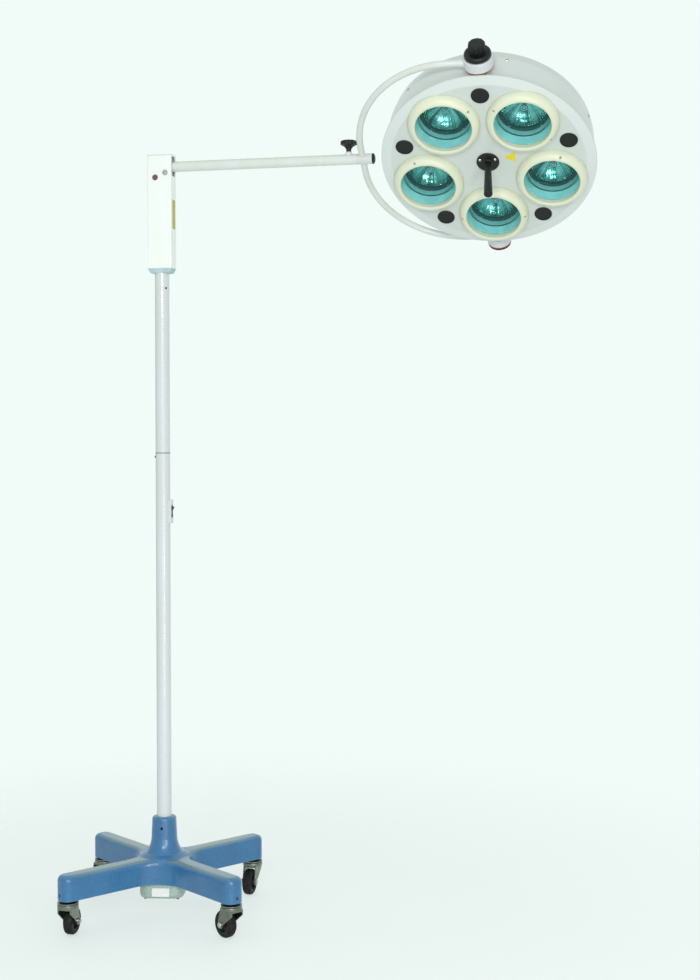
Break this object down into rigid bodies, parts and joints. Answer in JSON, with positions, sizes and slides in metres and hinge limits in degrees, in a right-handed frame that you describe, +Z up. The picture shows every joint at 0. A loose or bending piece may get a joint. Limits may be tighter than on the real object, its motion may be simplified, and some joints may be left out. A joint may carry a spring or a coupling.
{
  "type": "surgical light",
  "caption": "Floor-standing mobile operating light: reflector head in a C-yoke on a spring-balanced arm, swivelling column and castered cross base.",
  "frame": {"origin": "on the floor, on the axis of the column", "axes": "+Z up along the column; +X along the lamp arm at rest, from the column to the head; the lamp face looks towards -Y and down"},
  "size_m": [1.2914, 0.4904, 2.0107],
  "materials": {
    "blue_casting": "gloss",
    "hammered_grey": "satin",
    "transformer_winding": "satin",
    "bright_screws": "gloss",
    "black_plastic": "satin",
    "zinc_steel": "satin",
    "wheel_plastic": "matte",
    "tyre_rubber": "matte",
    "white_paint": "gloss",
    "cream_paint": "gloss",
    "bearing_steel": "satin",
    "dark_washer": "matte",
    "blue_grey_cap": "satin",
    "head_shell": "gloss",
    "ivory_bezel": "gloss",
    "filter_glass": "gloss",
    "pale_sleeve": "satin",
    "reflector_mirror": "polished",
    "bulb_glass": "gloss",
    "holder_ceramic": "matte",
    "fibre_red": "matte"
  },
  "bodies": {
    "stand": {"base_casting": "blue_casting", "transformer_housing": "hammered_grey", "transformer": "transformer_winding", "base_screws": "bright_screws", "mains_gland": "black_plastic", "caster_stems": "zinc_steel", "lower_column": "white_paint", "swivel_spindle": "bearing_steel", "swivel_washer": "dark_washer", "switch_housing": "white_paint"},
    "switch": {"switch_rocker": "black_plastic"},
    "upper_mast": {"upper_column": "white_paint", "spring_box": "white_paint", "box_top_cap": "white_paint", "box_bottom_cap": "blue_grey_cap", "arm_pivot_bolt": "bright_screws", "access_plug": "black_plastic", "balance_spring": "bearing_steel", "spring_adjuster": "bearing_steel"},
    "arm": {"arm_crank": "bearing_steel", "spring_pin": "bearing_steel", "arm_tube": "cream_paint"},
    "roll_clamp": {"clamp_knob": "black_plastic"},
    "yoke": {"yoke_sleeve": "white_paint", "sleeve_end_cap": "black_plastic", "yoke_tube": "cream_paint", "upper_hub": "white_paint", "lower_hub": "white_paint", "lower_hub_cap": "black_plastic", "hub_washers": "fibre_red"},
    "tilt_clamp": {"tilt_knob": "black_plastic"},
    "lamp_head": {"head_pivots": "bearing_steel", "front_panel": "head_shell", "rear_shell": "head_shell", "lens_bezels": "ivory_bezel", "glass_retainers": "pale_sleeve", "filter_glasses": "filter_glass", "reflectors": "reflector_mirror", "lampholders": "holder_ceramic", "bulbs": "bulb_glass", "face_screws": "bright_screws", "rim_screws": "bright_screws", "vent_plugs": "black_plastic", "handle": "black_plastic"},
    "caster_1": {"caster_fork_1": "zinc_steel", "caster_axle_1": "bright_screws"},
    "wheel_1": {"caster_wheel_1": "wheel_plastic", "caster_tyre_1": "tyre_rubber"},
    "caster_2": {"caster_fork_2": "zinc_steel", "caster_axle_2": "bright_screws"},
    "wheel_2": {"caster_wheel_2": "wheel_plastic", "caster_tyre_2": "tyre_rubber"},
    "caster_3": {"caster_fork_3": "zinc_steel", "caster_axle_3": "bright_screws"},
    "wheel_3": {"caster_wheel_3": "wheel_plastic", "caster_tyre_3": "tyre_rubber"},
    "caster_4": {"caster_fork_4": "zinc_steel", "caster_axle_4": "bright_screws"},
    "wheel_4": {"caster_wheel_4": "wheel_plastic", "caster_tyre_4": "tyre_rubber"}
  },
  "joints": [
    {"name": "column_swivel", "type": "hinge", "parent": "stand", "child": "upper_mast", "pos_m": [0, 0, 1.112], "axis": [0, 0, 1], "range_deg": [-175, 175]},
    {"name": "switch_rock", "type": "hinge", "parent": "stand", "child": "switch", "pos_m": [0.015, 0, 0.971], "axis": [0, -1, 0], "range_deg": [0, 14]},
    {"name": "arm_pitch", "type": "hinge", "parent": "upper_mast", "child": "arm", "pos_m": [0.015, 0, 1.786], "axis": [0, -1, 0], "range_deg": [-20, 25], "deforming": ["balance_spring"]},
    {"name": "roll_clamp_turn", "type": "hinge", "parent": "arm", "child": "roll_clamp", "pos_m": [0.462, 0, 1.83], "axis": [0, 0, 1], "range_deg": [0, 300]},
    {"name": "yoke_roll", "type": "hinge", "parent": "arm", "child": "yoke", "pos_m": [0.5, 0, 1.802], "axis": [1, 0, 0], "range_deg": [-150, 150]},
    {"name": "tilt_clamp_turn", "type": "hinge", "parent": "yoke", "child": "tilt_clamp", "pos_m": [0.794, -0.22537, 1.9845], "axis": [0, -0.7771, 0.6293], "range_deg": [0, 300]},
    {"name": "head_tilt", "type": "hinge", "parent": "yoke", "child": "lamp_head", "pos_m": [0.794, 0, 1.802], "axis": [0, -0.7771, 0.6293], "range_deg": [-150, 150]},
    {"name": "caster_swivel_1", "type": "hinge", "parent": "stand", "child": "caster_1", "pos_m": [0.16129, 0.21403, 0.08], "axis": [0, 0, 1], "continuous": true},
    {"name": "wheel_roll_1", "type": "hinge", "parent": "caster_1", "child": "wheel_1", "pos_m": [0.15975, 0.19209, 0.0315], "axis": [0.9976, -0.0698, 0], "continuous": true},
    {"name": "caster_swivel_2", "type": "hinge", "parent": "stand", "child": "caster_2", "pos_m": [-0.21403, 0.16129, 0.08], "axis": [0, 0, 1], "continuous": true},
    {"name": "wheel_roll_2", "type": "hinge", "parent": "caster_2", "child": "wheel_2", "pos_m": [-0.22611, 0.1429, 0.0315], "axis": [0.8358, -0.549, 0], "continuous": true},
    {"name": "caster_swivel_3", "type": "hinge", "parent": "stand", "child": "caster_3", "pos_m": [-0.16129, -0.21403, 0.08], "axis": [0, 0, 1], "continuous": true},
    {"name": "wheel_roll_3", "type": "hinge", "parent": "caster_3", "child": "wheel_3", "pos_m": [-0.16052, -0.19205, 0.0315], "axis": [-0.9994, 0.0349, 0], "continuous": true},
    {"name": "caster_swivel_4", "type": "hinge", "parent": "stand", "child": "caster_4", "pos_m": [0.21403, -0.16129, 0.08], "axis": [0, 0, 1], "continuous": true},
    {"name": "wheel_roll_4", "type": "hinge", "parent": "caster_4", "child": "wheel_4", "pos_m": [0.19646, -0.14805, 0.0315], "axis": [-0.6018, -0.7986, 0], "continuous": true}
  ]
}
